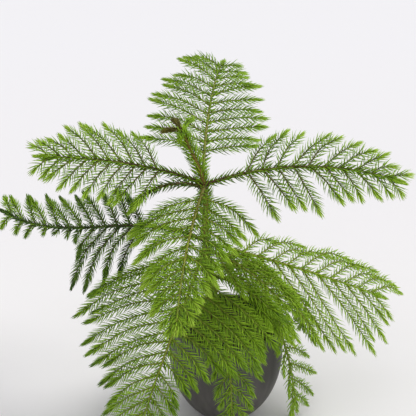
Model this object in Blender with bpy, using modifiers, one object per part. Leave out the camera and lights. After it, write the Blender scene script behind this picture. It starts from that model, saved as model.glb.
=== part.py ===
"""Potted Norfolk Island pine: a turned pot, its soil, one trunk, whorls of feathery fronds.

Metres, +Z up. The pot's foot rests on z = 0 and the pot's axis is the Z axis.
The plant leans to -X, and -Y is the side its lowest fronds reach towards.
"""

import math
import random

import bmesh
import bpy
from mathutils import Matrix, Vector

# Pot: a turned bowl with a straight upper wall and a rounded lower half.
POT_RADIUS = 0.065
POT_HEIGHT = 0.115
POT_WALL = 0.0042
POT_FOOT_RADIUS = 0.031
POT_BELLY_HEIGHT = 0.078
POT_TURN_STEPS = 48

# Soil: fills the pot to a little below the rim.
SOIL_BELOW_RIM = 0.017
SOIL_CROWN = 0.003
TRUNK_SOCKET_DEPTH = 0.024

# Clearance between pieces that meet, and between the axes of shoots that pass each other.
FIT_GAP = 0.0003
SHOOT_CLEAR = 0.0040
POT_CLEAR = 0.0040
FLOOR_CLEAR = 0.0060

# Trunk: bends from the soil up to the top whorl, then leans over as the leader.
TRUNK_BASE_RADIUS = 0.0040
TRUNK_TOP_RADIUS = 0.0014
TRUNK_HEIGHT = 0.248
TRUNK_FOOT = (-0.011, 0.006)
TRUNK_SWAY_X = (0.0, -0.0085, -0.0125, -0.0138, -0.037)
TRUNK_LEAN_Y = -0.010

# The plant's overall spread: the length and thickness of every frond and shoot follow it.
SPREAD = 1.0

# Fronds: a main stem (rachis) with opposite side shoots in one plane.
RACHIS_BASE_RADIUS = 0.0019 * SPREAD
RACHIS_TIP_RADIUS = 0.0012 * SPREAD
SHOOT_BASE_RADIUS = 0.00135 * SPREAD
SHOOT_TIP_RADIUS = 0.0009 * SPREAD
SHOOT_STEP = 0.045 * SPREAD
RACHIS_STEPS = 9
STEM_ROUNDNESS = 1
SHOOT_ROUNDNESS = 0

# Young shoots around the leader's tip: name, heading, pitch, length.
BUD_RADIUS = 0.0029
BUD_CURL = -9.0
BUD_DROP = 0.0
BUDS = [
    ("bud_back_left", 118, 26, 0.018),
    ("bud_left", 190, 12, 0.016),
    ("bud_back_right", 58, 30, 0.018),
    ("bud_front", 266, 4, 0.018),
]


class Frond:
    """One frond. Angles are degrees, heading 0 is +X and 90 is +Y, pitch is up from level.

    rise: where it leaves the trunk, as a share of the trunk's height above the soil.
    pitch: at the start, the middle and the tip.  turn: change of heading along it.
    left, right: lengths of the side shoots from the first to the last, seen looking outwards.
    roll: lifts the left side.  hang: how far the left, right shoots bend down, 0 to 1.
    spread: angle of the first and last shoots from the main stem.
    sweep: how far the shoots curve towards the tip.  bare: share of it before the first shoot.
    """

    def __init__(self, name, rise, heading, length, pitch, left, right, **more):
        self.name = name
        self.rise = rise
        self.heading = heading
        self.length = length * SPREAD
        self.pitch = pitch
        self.shoot_lengths = [[value * SPREAD for value in left],
                              [value * SPREAD for value in right]]
        self.turn = more.get("turn", 0.0)
        self.roll = more.get("roll", 0.0)
        self.hang = more.get("hang", (0.25, 0.25))
        self.pairs = more.get("pairs", 10)
        self.bare = more.get("bare", 0.26)
        self.lift = more.get("lift", 4.0)
        self.spread = more.get("spread", (64.0, 42.0))
        self.sweep = more.get("sweep", 0.15)


FRONDS = [
    Frond("frond_top_right", 0.745, -8, 0.212, (23, 4, -18),
          (0.062, 0.066, 0.048, 0.018), (0.066, 0.060, 0.042, 0.018),
          roll=27, hang=(0.35, 0.25), bare=0.20, pairs=10, spread=(70, 42), sweep=0.14),
    Frond("frond_top_back", 0.765, 90, 0.214, (14, 25, 4),
          (0.072, 0.074, 0.062, 0.054), (0.068, 0.072, 0.052, 0.016),
          turn=-14, roll=9, hang=(0.40, 0.32), spread=(66, 58), bare=0.20, pairs=11),
    Frond("frond_top_front_left", 0.730, 204, 0.092, (26, -8, -58),
          (0.006, 0.008, 0.008), (0.006, 0.008, 0.008),
          hang=(0.3, 0.3), pairs=2, bare=0.55),
    Frond("frond_top_left", 0.752, 186, 0.177, (24, 11, 4),
          (0.058, 0.060, 0.042, 0.018), (0.062, 0.062, 0.044, 0.018),
          roll=-25, hang=(0.3, 0.25), spread=(68, 44)),
    Frond("frond_top_front", 0.740, 258, 0.200, (-14, -20, -38),
          (0.072, 0.056, 0.032, 0.009), (0.084, 0.066, 0.042, 0.010),
          turn=8, hang=(0.45, 0.5), bare=0.08, pairs=12, spread=(72, 42)),
    Frond("frond_mid_left", 0.470, 161, 0.258, (18, -12, 24),
          (0.070, 0.085, 0.090, 0.030, 0.012, 0.012, 0.016, 0.020, 0.016),
          (0.056, 0.060, 0.048, 0.020),
          turn=-4, roll=-34, hang=(0.85, 0.05), pairs=12, spread=(62, 44)),
    Frond("frond_mid_right", 0.465, 8, 0.222, (-20, -22, -26),
          (0.064, 0.078, 0.078, 0.048), (0.120, 0.120, 0.080, 0.024),
          roll=34, hang=(0.45, 0.45), pairs=10, bare=0.17, spread=(60, 40), sweep=0.50),
    Frond("frond_mid_front_left", 0.450, 252, 0.240, (-30, -31, -56),
          (0.128, 0.108, 0.058, 0.036, 0.026), (0.140, 0.114, 0.078, 0.052, 0.034),
          turn=-6, roll=-4, hang=(0.32, 0.40), pairs=17, bare=0.05, spread=(76, 50)),
    Frond("frond_mid_front_right", 0.430, 336, 0.110, (-12, -30, -46),
          (0.036, 0.042, 0.034, 0.018), (0.092, 0.092, 0.066, 0.028),
          roll=10, hang=(0.35, 0.25), pairs=10, bare=0.06, spread=(50, 32), sweep=0.4),
    Frond("frond_low_right", 0.290, -24, 0.205, (10, -64, -78),
          (0.058, 0.066, 0.054, 0.028), (0.024, 0.034, 0.036, 0.020),
          hang=(0.15, 0.3), pairs=5, bare=0.50, spread=(66, 46)),
    Frond("frond_low_front", 0.270, 283, 0.180, (14, -52, -88),
          (0.062, 0.058, 0.034, 0.018), (0.032, 0.036, 0.026, 0.016),
          hang=(0.55, 0.6), pairs=7, bare=0.22, spread=(60, 42)),
    Frond("frond_low_back", 0.320, 24, 0.180, (8, -46, -76),
          (0.036, 0.046, 0.040, 0.020), (0.050, 0.060, 0.054, 0.024),
          hang=(0.3, 0.3), pairs=9, bare=0.14),
]


def smooth_value(values, u):
    """A smooth curve through evenly spaced values, read a share u of the way along."""
    place = min(max(u, 0.0), 1.0) * (len(values) - 1)
    index = min(int(place), len(values) - 2)
    t = place - index
    b, c = values[index], values[index + 1]
    a = values[index - 1] if index > 0 else 2 * b - c
    d = values[index + 2] if index + 2 < len(values) else 2 * c - b
    m, n = (c - a) / 2, (d - b) / 2
    return (b * (2 * t ** 3 - 3 * t ** 2 + 1) + m * (t ** 3 - 2 * t ** 2 + t)
            + c * (3 * t ** 2 - 2 * t ** 3) + n * (t ** 3 - t ** 2))


def trunk_point(share):
    """A point on the trunk's axis, share 0 at the soil and 1 at the leader's tip."""
    soil_top = POT_HEIGHT - SOIL_BELOW_RIM
    return Vector((TRUNK_FOOT[0] + smooth_value(TRUNK_SWAY_X, share),
                   TRUNK_FOOT[1] + TRUNK_LEAN_Y * share,
                   soil_top + TRUNK_HEIGHT * share))


def trunk_radius(share):
    return TRUNK_BASE_RADIUS + (TRUNK_TOP_RADIUS - TRUNK_BASE_RADIUS) * max(share, 0.0) ** 2.2


def blend3(values, u):
    """A smooth value through three, at u = 0, a half and 1."""
    a, b, c = values
    return a * (1 - u) * (1 - 2 * u) + 4 * b * u * (1 - u) + c * u * (2 * u - 1)


def heading_vector(heading, pitch):
    h, p = math.radians(heading), math.radians(pitch)
    return Vector((math.cos(p) * math.cos(h), math.cos(p) * math.sin(h), math.sin(p)))


def rachis_path(frond):
    """Points along the frond's main stem, from just clear of the trunk to its tip."""
    start_dir = heading_vector(frond.heading, frond.pitch[0])
    slope = abs(math.sin(math.radians(frond.pitch[0])))
    clear = trunk_radius(frond.rise) + 2 * FIT_GAP + RACHIS_BASE_RADIUS * (slope + 0.6)
    point = trunk_point(frond.rise) + start_dir * clear
    points = [point.copy()]
    step = frond.length / RACHIS_STEPS
    for index in range(RACHIS_STEPS):
        u = (index + 0.5) / RACHIS_STEPS
        point = point + step * heading_vector(frond.heading + frond.turn * u,
                                              blend3(frond.pitch, u))
        points.append(point.copy())
    return points


def path_at(points, u):
    """The point and direction a share u of the way along a path of equal steps."""
    place = min(max(u, 0.0), 0.9999) * (len(points) - 1)
    index = int(place)
    a, b = points[index], points[index + 1]
    return a.lerp(b, place - index), (b - a).normalized()


def shoot_path(start, leave, along, length, frond, hang):
    """A side shoot that leaves one way, curves towards the tip and bends down by hang."""
    steps = max(2, round(length / SHOOT_STEP))
    points = [start.copy()]
    down = Vector((0, 0, -1))
    for index in range(steps):
        u = (index + 0.5) / steps
        bent = leave.lerp(along, frond.sweep * u)
        bent = bent.lerp(down, hang * u ** 1.2).normalized()
        points.append(points[-1] + bent * (length / steps))
    return points


def pot_radius(height):
    """The pot's outer radius: an upright wall above the belly, an ellipse below it."""
    if height >= POT_BELLY_HEIGHT:
        return POT_RADIUS
    foot_share = math.sqrt(1 - (POT_FOOT_RADIUS / POT_RADIUS) ** 2)
    drop = (POT_BELLY_HEIGHT - height) / POT_BELLY_HEIGHT * foot_share
    return POT_RADIUS * math.sqrt(1 - drop ** 2)


def wants_of_shoot(frond, index, side, rachis, chance):
    """Where the shoot starts, the way it leaves, the main stem's direction and its length."""
    share = (index + 0.16 * side) / frond.pairs
    u = frond.bare + (0.985 - frond.bare) * share
    start, along = path_at(rachis, u)
    across = Vector((0, 0, 1)).cross(along).normalized()
    across = Matrix.Rotation(math.radians(frond.roll), 3, along) @ across
    normal = along.cross(across)
    if side:
        across = -across
    angle = frond.spread[0] + (frond.spread[1] - frond.spread[0]) * share
    angle = math.radians(angle + chance.uniform(-5, 5))
    lift = math.radians(frond.lift + chance.uniform(-4, 4))
    flat = along * math.cos(angle) + across * math.sin(angle)
    leave = flat * math.cos(lift) + normal * math.sin(lift)
    length = smooth_value(frond.shoot_lengths[side], share) * chance.uniform(0.90, 1.08)
    return start, leave, along, length


def pieces_of(points, owner):
    """The straight pieces of a path, each as (start, end, middle, half length, owner)."""
    return [(a, b, (a + b) / 2, (b - a).length / 2, owner) for a, b in zip(points, points[1:])]


def gap_between(one, other):
    """The shortest distance between two straight pieces."""
    p, q = one[0], other[0]
    d, e = one[1] - p, other[1] - q
    r = p - q
    dd, ee, de, dr, er = d.dot(d), e.dot(e), d.dot(e), d.dot(r), e.dot(r)
    flat = dd * ee - de * de
    s = min(max((de * er - ee * dr) / flat, 0.0), 1.0) if flat > 1e-14 else 0.0
    t = (de * s + er) / ee
    if t < 0.0 or t > 1.0:
        t = min(max(t, 0.0), 1.0)
        s = min(max((de * t - dr) / dd, 0.0), 1.0)
    return (p + d * s - q - e * t).length


def in_the_way(points, others, owner):
    """Whether a path runs into the pot, the floor or a piece of another frond."""
    for a, b in zip(points, points[1:]):
        for share in (0.25, 0.5, 0.75, 1.0):
            spot = a.lerp(b, share)
            if spot.z < FLOOR_CLEAR:
                return True
            over = math.hypot(spot.x, spot.y) < pot_radius(max(spot.z, 0.0)) + POT_CLEAR
            if over and spot.z < POT_HEIGHT + POT_CLEAR:
                return True
    for piece in pieces_of(points, owner):
        for other in others:
            if other[4] == owner:
                continue
            reach = piece[3] + other[3] + SHOOT_CLEAR
            if (piece[2] - other[2]).length < reach and gap_between(piece, other) < SHOOT_CLEAR:
                return True
    return False


def clear_shoot(frond, wants, hang, others):
    """The shoot as wanted, or bent up or down, or cut short, so that it clears the rest."""
    start, leave, along, length = wants
    aside = leave.cross(Vector((0, 0, 1))).normalized()
    for shorter in (1.0, 0.85, 0.7, 0.5, 0.35):
        for turn in (0, 6, -6, 12, -12, 18, -18, 26):
            bent = Matrix.Rotation(math.radians(turn), 3, aside) @ leave
            points = shoot_path(start, bent, along, length * shorter, frond, hang)
            if not in_the_way(points, others, frond.name):
                return points
    return None


def place_fronds():
    """Every frond's (main stem, shoots), shoots placed in order so that no two touch."""
    stems = {frond.name: rachis_path(frond) for frond in FRONDS}
    taken = []
    for name, points in stems.items():
        taken += pieces_of(points, name)
    taken += pieces_of([trunk_point(i / 12) for i in range(13)], "trunk")
    placed = {}
    for frond in FRONDS:
        chance = random.Random(frond.name)
        shoots = []
        for index in range(frond.pairs):
            for side in (0, 1):
                wants = wants_of_shoot(frond, index, side, stems[frond.name], chance)
                points = clear_shoot(frond, wants, frond.hang[side], taken)
                if points:
                    shoots.append(points)
        for points in shoots:
            taken += pieces_of(points, frond.name)
        placed[frond.name] = (stems[frond.name], shoots)
    return placed


# --- shapes


def clear_scene():
    for obj in list(bpy.data.objects):
        bpy.data.objects.remove(obj, do_unlink=True)
    for group in list(bpy.data.collections):
        bpy.data.collections.remove(group)


def make_material(name, colour, roughness):
    material = bpy.data.materials.new(name)
    material.use_nodes = True
    shader = material.node_tree.nodes["Principled BSDF"]
    shader.inputs["Base Color"].default_value = (*colour, 1.0)
    shader.inputs["Roughness"].default_value = roughness
    return material


def add_object(name, mesh, material, group):
    mesh.materials.clear()
    mesh.materials.append(material)
    obj = bpy.data.objects.new(name, mesh)
    group.objects.link(obj)
    return obj


def shade_smooth(mesh):
    for face in mesh.polygons:
        face.use_smooth = True


def tube_mesh(name, paths, radii, roundness=2):
    """Closed round tubes along paths, each with its own list of radii, as one mesh."""
    curve = bpy.data.curves.new(name, "CURVE")
    curve.dimensions = "3D"
    curve.bevel_depth = 1.0
    curve.bevel_resolution = roundness
    curve.use_fill_caps = True
    curve.twist_mode = "MINIMUM"
    for points, sizes in zip(paths, radii):
        spline = curve.splines.new("POLY")
        spline.points.add(len(points) - 1)
        for spot, point, size in zip(spline.points, points, sizes):
            spot.co = (*point, 1.0)
            spot.radius = size
    guide = bpy.data.objects.new(name + "_guide", curve)
    bpy.context.scene.collection.objects.link(guide)
    bpy.context.view_layer.update()
    graph = bpy.context.evaluated_depsgraph_get()
    mesh = bpy.data.meshes.new_from_object(guide.evaluated_get(graph))
    bpy.data.objects.remove(guide, do_unlink=True)
    bpy.data.curves.remove(curve)
    mesh.name = name
    weld(mesh)
    return mesh


def weld(mesh):
    body = bmesh.new()
    body.from_mesh(mesh)
    bmesh.ops.remove_doubles(body, verts=body.verts, dist=1e-6)
    bmesh.ops.recalc_face_normals(body, faces=body.faces)
    body.to_mesh(mesh)
    body.free()


def turned_mesh(name, profile, steps):
    """A profile of (radius, height), run top to bottom on its outer side, turned about Z."""
    mesh = bpy.data.meshes.new(name)
    points = [(radius, 0.0, height) for radius, height in profile]
    mesh.from_pydata(points, [(i, i + 1) for i in range(len(points) - 1)], [])
    guide = bpy.data.objects.new(name + "_guide", mesh)
    bpy.context.scene.collection.objects.link(guide)
    screw = guide.modifiers.new("Turn", "SCREW")
    screw.axis = "Z"
    screw.angle = math.tau
    screw.steps = steps
    screw.render_steps = steps
    screw.use_merge_vertices = True
    screw.merge_threshold = 0.00001
    bpy.context.view_layer.update()
    graph = bpy.context.evaluated_depsgraph_get()
    turned = bpy.data.meshes.new_from_object(guide.evaluated_get(graph))
    bpy.data.objects.remove(guide, do_unlink=True)
    turned.name = name
    weld(turned)
    return turned


def pot_inner_radius(height):
    return pot_radius(height - POT_WALL * 0.35) - POT_WALL


def pot_profile():
    lip = POT_WALL * 0.28
    belly = [POT_BELLY_HEIGHT * (1 - (i / 9) ** 1.25) for i in range(1, 9)]
    outer = [(POT_RADIUS - lip, POT_HEIGHT), (POT_RADIUS - lip * 0.3, POT_HEIGHT - lip * 0.3),
             (POT_RADIUS, POT_HEIGHT - lip), (POT_RADIUS, POT_BELLY_HEIGHT)]
    outer += [(pot_radius(z), z) for z in belly]
    outer += [(POT_FOOT_RADIUS, 0.0004), (POT_FOOT_RADIUS - 0.0012, 0.0), (0.0, 0.0)]
    floor = POT_WALL * 1.2
    low = floor + POT_WALL * 0.5
    inner = [(0.0, floor), (pot_inner_radius(low) - 0.003, floor), (pot_inner_radius(low), low)]
    rise = [POT_BELLY_HEIGHT * (i / 7) ** 1.2 for i in range(2, 8)]
    inner += [(pot_inner_radius(z), z) for z in rise if z > low + 0.004]
    inner += [(POT_RADIUS - POT_WALL, POT_HEIGHT - lip),
              (POT_RADIUS - POT_WALL + lip * 0.3, POT_HEIGHT - lip * 0.3),
              (POT_RADIUS - POT_WALL + lip, POT_HEIGHT)]
    return outer + inner + [outer[0]]


def soil_profile():
    """The soil's section: a low crown, then down the inside of the pot's wall."""
    top = POT_HEIGHT - SOIL_BELOW_RIM
    low = POT_WALL * 1.7
    outer = [(0.0, top + SOIL_CROWN), (POT_RADIUS * 0.35, top + SOIL_CROWN * 0.8),
             (POT_RADIUS * 0.7, top + SOIL_CROWN * 0.3),
             (pot_inner_radius(top) - 0.002, top),
             (pot_inner_radius(top) - FIT_GAP, top - 0.0025)]
    wall = [(POT_RADIUS - POT_WALL - FIT_GAP, POT_BELLY_HEIGHT + 0.001)]
    fall = [POT_BELLY_HEIGHT * (i / 7) ** 1.2 for i in range(6, 1, -1)]
    wall += [(pot_inner_radius(z) - FIT_GAP - 0.0007, z) for z in fall]
    outer += [point for point in wall if low + 0.004 < point[1] < top - 0.0035]
    outer += [(pot_inner_radius(low) - FIT_GAP - 0.0007, low + 0.001)]
    floor = POT_WALL * 1.2 + FIT_GAP
    outer += [(pot_inner_radius(low) - 0.0045, floor), (0.0, floor)]
    return outer


def trunk_tube(extra, steps=14):
    """The trunk's axis and its radii, extra wider and deeper, from its foot to its tip."""
    shares = [i / steps for i in range(1, steps + 1)]
    foot = trunk_point(0.0) - Vector((0, 0, TRUNK_SOCKET_DEPTH + extra))
    points = [foot] + [trunk_point(share) for share in shares]
    sizes = [trunk_radius(share) + extra for share in [0.0] + shares]
    sizes[-1] *= 0.8
    return points, sizes


def frond_mesh(frond, rachis, shoots):
    """The main stem and its shoots as one closed body."""
    count = len(rachis)
    widths = [RACHIS_BASE_RADIUS + (RACHIS_TIP_RADIUS - RACHIS_BASE_RADIUS) * i / (count - 1)
              for i in range(count)]
    widths[-1] = RACHIS_TIP_RADIUS * 0.5
    stem = tube_mesh(frond.name, [rachis], [widths], STEM_ROUNDNESS)
    sizes = []
    for points in shoots:
        last = len(points) - 1
        row = [SHOOT_BASE_RADIUS + (SHOOT_TIP_RADIUS - SHOOT_BASE_RADIUS) * i / last
               for i in range(last + 1)]
        row[-1] = SHOOT_TIP_RADIUS * 0.5
        sizes.append(row)
    side = tube_mesh(frond.name + "_shoots", shoots, sizes, SHOOT_ROUNDNESS)
    return join_bodies(frond.name, stem, side)


def join_bodies(name, first, second):
    """Two meshes united into one closed body."""
    base = bpy.data.objects.new(name + "_a", first)
    other = bpy.data.objects.new(name + "_b", second)
    for obj in (base, other):
        bpy.context.scene.collection.objects.link(obj)
    unite = base.modifiers.new("Unite", "BOOLEAN")
    unite.operation = "UNION"
    unite.solver = "EXACT"
    unite.use_self = True
    unite.object = other
    bpy.context.view_layer.update()
    graph = bpy.context.evaluated_depsgraph_get()
    mesh = bpy.data.meshes.new_from_object(base.evaluated_get(graph))
    for obj in (base, other):
        bpy.data.objects.remove(obj, do_unlink=True)
    mesh.name = name
    weld(mesh)
    return mesh


def bud_path(heading, pitch, length):
    """A young shoot at the leader's tip, from just clear of it."""
    tip = trunk_point(1.0)
    out = heading_vector(heading, pitch)
    clear = trunk_radius(1.0) + FIT_GAP + BUD_RADIUS * 0.45
    points = [tip + out * clear - Vector((0, 0, BUD_DROP))]
    for index in range(4):
        out = heading_vector(heading, pitch + BUD_CURL * index)
        points.append(points[-1] + out * (length / 4))
    return points


def build():
    clear_scene()
    group = bpy.data.collections.new("potted_norfolk_pine")
    bpy.context.scene.collection.children.link(group)
    cutters = bpy.data.collections.new("cutters")
    bpy.context.scene.collection.children.link(cutters)
    cutters.hide_render = True

    pot_look = make_material("pot_glaze", (0.042, 0.037, 0.038), 0.55)
    pot = turned_mesh("pot", pot_profile(), POT_TURN_STEPS)
    shade_smooth(pot)
    add_object("pot", pot, pot_look, group)

    soil_look = make_material("potting_soil", (0.035, 0.022, 0.014), 0.95)
    soil = turned_mesh("soil", soil_profile(), POT_TURN_STEPS)
    shade_smooth(soil)
    soil_obj = add_object("soil", soil, soil_look, group)
    points, sizes = trunk_tube(FIT_GAP)
    cutter = bpy.data.objects.new("trunk_socket", tube_mesh("trunk_socket", [points[:3]],
                                                            [sizes[:3]]))
    cutters.objects.link(cutter)
    cutter.hide_render = True
    cutter.display_type = "WIRE"
    socket = soil_obj.modifiers.new("Socket", "BOOLEAN")
    socket.operation = "DIFFERENCE"
    socket.solver = "EXACT"
    socket.object = cutter

    bark = make_material("trunk_bark", (0.16, 0.13, 0.05), 0.8)
    points, sizes = trunk_tube(0.0)
    trunk = tube_mesh("trunk", [points], [sizes])
    shade_smooth(trunk)
    add_object("trunk", trunk, bark, group)

    placed = place_fronds()
    for frond in FRONDS:
        rachis, shoots = placed[frond.name]
        look = make_material(frond.name + "_green", (0.07, 0.16, 0.02), 0.6)
        mesh = frond_mesh(frond, rachis, shoots)
        shade_smooth(mesh)
        add_object(frond.name, mesh, look, group)

    for name, heading, pitch, length in BUDS:
        look = make_material(name + "_green", (0.12, 0.22, 0.02), 0.6)
        widths = [BUD_RADIUS * share for share in (0.45, 0.9, 1.0, 0.8, 0.25)]
        mesh = tube_mesh(name, [bud_path(heading, pitch, length)], [widths])
        shade_smooth(mesh)
        add_object(name, mesh, look, group)


build()
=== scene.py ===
"""Potted Norfolk Island pine: how the pot, the soil, the trunk and the feathery fronds look."""

import math
import random
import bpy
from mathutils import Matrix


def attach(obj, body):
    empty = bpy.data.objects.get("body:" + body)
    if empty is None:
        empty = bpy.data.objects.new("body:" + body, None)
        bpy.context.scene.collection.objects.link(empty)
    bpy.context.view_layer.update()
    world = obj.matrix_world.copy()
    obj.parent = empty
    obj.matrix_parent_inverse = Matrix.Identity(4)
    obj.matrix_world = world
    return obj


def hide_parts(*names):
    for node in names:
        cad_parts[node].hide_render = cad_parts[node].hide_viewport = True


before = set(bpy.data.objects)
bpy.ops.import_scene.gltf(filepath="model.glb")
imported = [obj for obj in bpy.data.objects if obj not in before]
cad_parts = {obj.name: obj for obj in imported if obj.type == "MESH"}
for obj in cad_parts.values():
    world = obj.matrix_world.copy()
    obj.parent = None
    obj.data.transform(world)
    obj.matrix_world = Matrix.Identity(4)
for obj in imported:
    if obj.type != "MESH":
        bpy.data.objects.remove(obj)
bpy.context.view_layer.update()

import zlib

import bpy
import numpy as np
from mathutils import Matrix, Vector, noise

# --- the plant's skeleton, with the same sizes and rules as the CAD part

# Pot: a turned bowl with a straight upper wall and a rounded lower half.
POT_RADIUS = 0.065
POT_HEIGHT = 0.115
POT_WALL = 0.0042
POT_FOOT_RADIUS = 0.031
POT_BELLY_HEIGHT = 0.078

# Soil: fills the pot to a little below the rim.
SOIL_BELOW_RIM = 0.017
SOIL_CROWN = 0.003
TRUNK_SOCKET_DEPTH = 0.024

# Clearance between pieces that meet, and between the axes of shoots that pass each other.
FIT_GAP = 0.0003
SHOOT_CLEAR = 0.0040
POT_CLEAR = 0.0040
FLOOR_CLEAR = 0.0060

# Trunk: bends from the soil up to the top whorl, then leans over as the leader.
TRUNK_BASE_RADIUS = 0.0040
TRUNK_TOP_RADIUS = 0.0014
TRUNK_HEIGHT = 0.248
TRUNK_FOOT = (-0.011, 0.006)
TRUNK_SWAY_X = (0.0, -0.0085, -0.0125, -0.0138, -0.037)
TRUNK_LEAN_Y = -0.010

# The plant's overall spread: the length and thickness of every frond and shoot follow it.
SPREAD = 1.0

# Fronds: a main stem (rachis) with opposite side shoots in one plane.
RACHIS_BASE_RADIUS = 0.0019 * SPREAD
SHOOT_STEP = 0.045 * SPREAD
RACHIS_STEPS = 9

# Young shoots around the leader's tip: name, heading, pitch, length.
BUD_RADIUS = 0.0029
BUD_CURL = -9.0
BUDS = [
    ("bud_back_left", 118, 26, 0.018),
    ("bud_left", 190, 12, 0.016),
    ("bud_back_right", 58, 30, 0.018),
    ("bud_front", 266, 4, 0.018),
]


class Frond:
    """One frond. Angles are degrees, heading 0 is +X and 90 is +Y, pitch is up from level.

    rise: where it leaves the trunk, as a share of the trunk's height above the soil.
    pitch: at the start, the middle and the tip.  turn: change of heading along it.
    left, right: lengths of the side shoots from the first to the last, seen looking outwards.
    roll: lifts the left side.  hang: how far the left, right shoots bend down, 0 to 1.
    spread: angle of the first and last shoots from the main stem.
    sweep: how far the shoots curve towards the tip.  bare: share of it before the first shoot.
    """

    def __init__(self, name, rise, heading, length, pitch, left, right, **more):
        self.name = name
        self.rise = rise
        self.heading = heading
        self.length = length * SPREAD
        self.pitch = pitch
        self.shoot_lengths = [[value * SPREAD for value in left],
                              [value * SPREAD for value in right]]
        self.turn = more.get("turn", 0.0)
        self.roll = more.get("roll", 0.0)
        self.hang = more.get("hang", (0.25, 0.25))
        self.pairs = more.get("pairs", 10)
        self.bare = more.get("bare", 0.26)
        self.lift = more.get("lift", 4.0)
        self.spread = more.get("spread", (64.0, 42.0))
        self.sweep = more.get("sweep", 0.15)


FRONDS = [
    Frond("frond_top_right", 0.745, -8, 0.212, (23, 4, -18),
          (0.062, 0.066, 0.048, 0.018), (0.066, 0.060, 0.042, 0.018),
          roll=27, hang=(0.35, 0.25), bare=0.20, pairs=10, spread=(70, 42), sweep=0.14),
    Frond("frond_top_back", 0.765, 90, 0.214, (14, 25, 4),
          (0.072, 0.074, 0.062, 0.054), (0.068, 0.072, 0.052, 0.016),
          turn=-14, roll=9, hang=(0.40, 0.32), spread=(66, 58), bare=0.20, pairs=11),
    Frond("frond_top_front_left", 0.730, 204, 0.092, (26, -8, -58),
          (0.006, 0.008, 0.008), (0.006, 0.008, 0.008),
          hang=(0.3, 0.3), pairs=2, bare=0.55),
    Frond("frond_top_left", 0.752, 186, 0.177, (24, 11, 4),
          (0.058, 0.060, 0.042, 0.018), (0.062, 0.062, 0.044, 0.018),
          roll=-25, hang=(0.3, 0.25), spread=(68, 44)),
    Frond("frond_top_front", 0.740, 258, 0.200, (-14, -20, -38),
          (0.072, 0.056, 0.032, 0.009), (0.084, 0.066, 0.042, 0.010),
          turn=8, hang=(0.45, 0.5), bare=0.08, pairs=12, spread=(72, 42)),
    Frond("frond_mid_left", 0.470, 161, 0.258, (18, -12, 24),
          (0.070, 0.085, 0.090, 0.030, 0.012, 0.012, 0.016, 0.020, 0.016),
          (0.056, 0.060, 0.048, 0.020),
          turn=-4, roll=-34, hang=(0.85, 0.05), pairs=12, spread=(62, 44)),
    Frond("frond_mid_right", 0.465, 8, 0.222, (-20, -22, -26),
          (0.064, 0.078, 0.078, 0.048), (0.120, 0.120, 0.080, 0.024),
          roll=34, hang=(0.45, 0.45), pairs=10, bare=0.17, spread=(60, 40), sweep=0.50),
    Frond("frond_mid_front_left", 0.450, 252, 0.240, (-30, -31, -56),
          (0.128, 0.108, 0.058, 0.036, 0.026), (0.140, 0.114, 0.078, 0.052, 0.034),
          turn=-6, roll=-4, hang=(0.32, 0.40), pairs=17, bare=0.05, spread=(76, 50)),
    Frond("frond_mid_front_right", 0.430, 336, 0.110, (-12, -30, -46),
          (0.036, 0.042, 0.034, 0.018), (0.092, 0.092, 0.066, 0.028),
          roll=10, hang=(0.35, 0.25), pairs=10, bare=0.06, spread=(50, 32), sweep=0.4),
    Frond("frond_low_right", 0.290, -24, 0.205, (10, -64, -78),
          (0.058, 0.066, 0.054, 0.028), (0.024, 0.034, 0.036, 0.020),
          hang=(0.15, 0.3), pairs=5, bare=0.50, spread=(66, 46)),
    Frond("frond_low_front", 0.270, 283, 0.180, (14, -52, -88),
          (0.062, 0.058, 0.034, 0.018), (0.032, 0.036, 0.026, 0.016),
          hang=(0.55, 0.6), pairs=7, bare=0.22, spread=(60, 42)),
    Frond("frond_low_back", 0.320, 24, 0.180, (8, -46, -76),
          (0.036, 0.046, 0.040, 0.020), (0.050, 0.060, 0.054, 0.024),
          hang=(0.3, 0.3), pairs=9, bare=0.14),
]


def smooth_value(values, u):
    """A smooth curve through evenly spaced values, read a share u of the way along."""
    place = min(max(u, 0.0), 1.0) * (len(values) - 1)
    index = min(int(place), len(values) - 2)
    t = place - index
    b, c = values[index], values[index + 1]
    a = values[index - 1] if index > 0 else 2 * b - c
    d = values[index + 2] if index + 2 < len(values) else 2 * c - b
    m, n = (c - a) / 2, (d - b) / 2
    return (b * (2 * t ** 3 - 3 * t ** 2 + 1) + m * (t ** 3 - 2 * t ** 2 + t)
            + c * (3 * t ** 2 - 2 * t ** 3) + n * (t ** 3 - t ** 2))


def trunk_point(share):
    """A point on the trunk's axis, share 0 at the soil and 1 at the leader's tip."""
    soil_top = POT_HEIGHT - SOIL_BELOW_RIM
    return Vector((TRUNK_FOOT[0] + smooth_value(TRUNK_SWAY_X, share),
                   TRUNK_FOOT[1] + TRUNK_LEAN_Y * share,
                   soil_top + TRUNK_HEIGHT * share))


def trunk_radius(share):
    return TRUNK_BASE_RADIUS + (TRUNK_TOP_RADIUS - TRUNK_BASE_RADIUS) * max(share, 0.0) ** 2.2


def blend3(values, u):
    """A smooth value through three, at u = 0, a half and 1."""
    a, b, c = values
    return a * (1 - u) * (1 - 2 * u) + 4 * b * u * (1 - u) + c * u * (2 * u - 1)


def heading_vector(heading, pitch):
    h, p = math.radians(heading), math.radians(pitch)
    return Vector((math.cos(p) * math.cos(h), math.cos(p) * math.sin(h), math.sin(p)))


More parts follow.
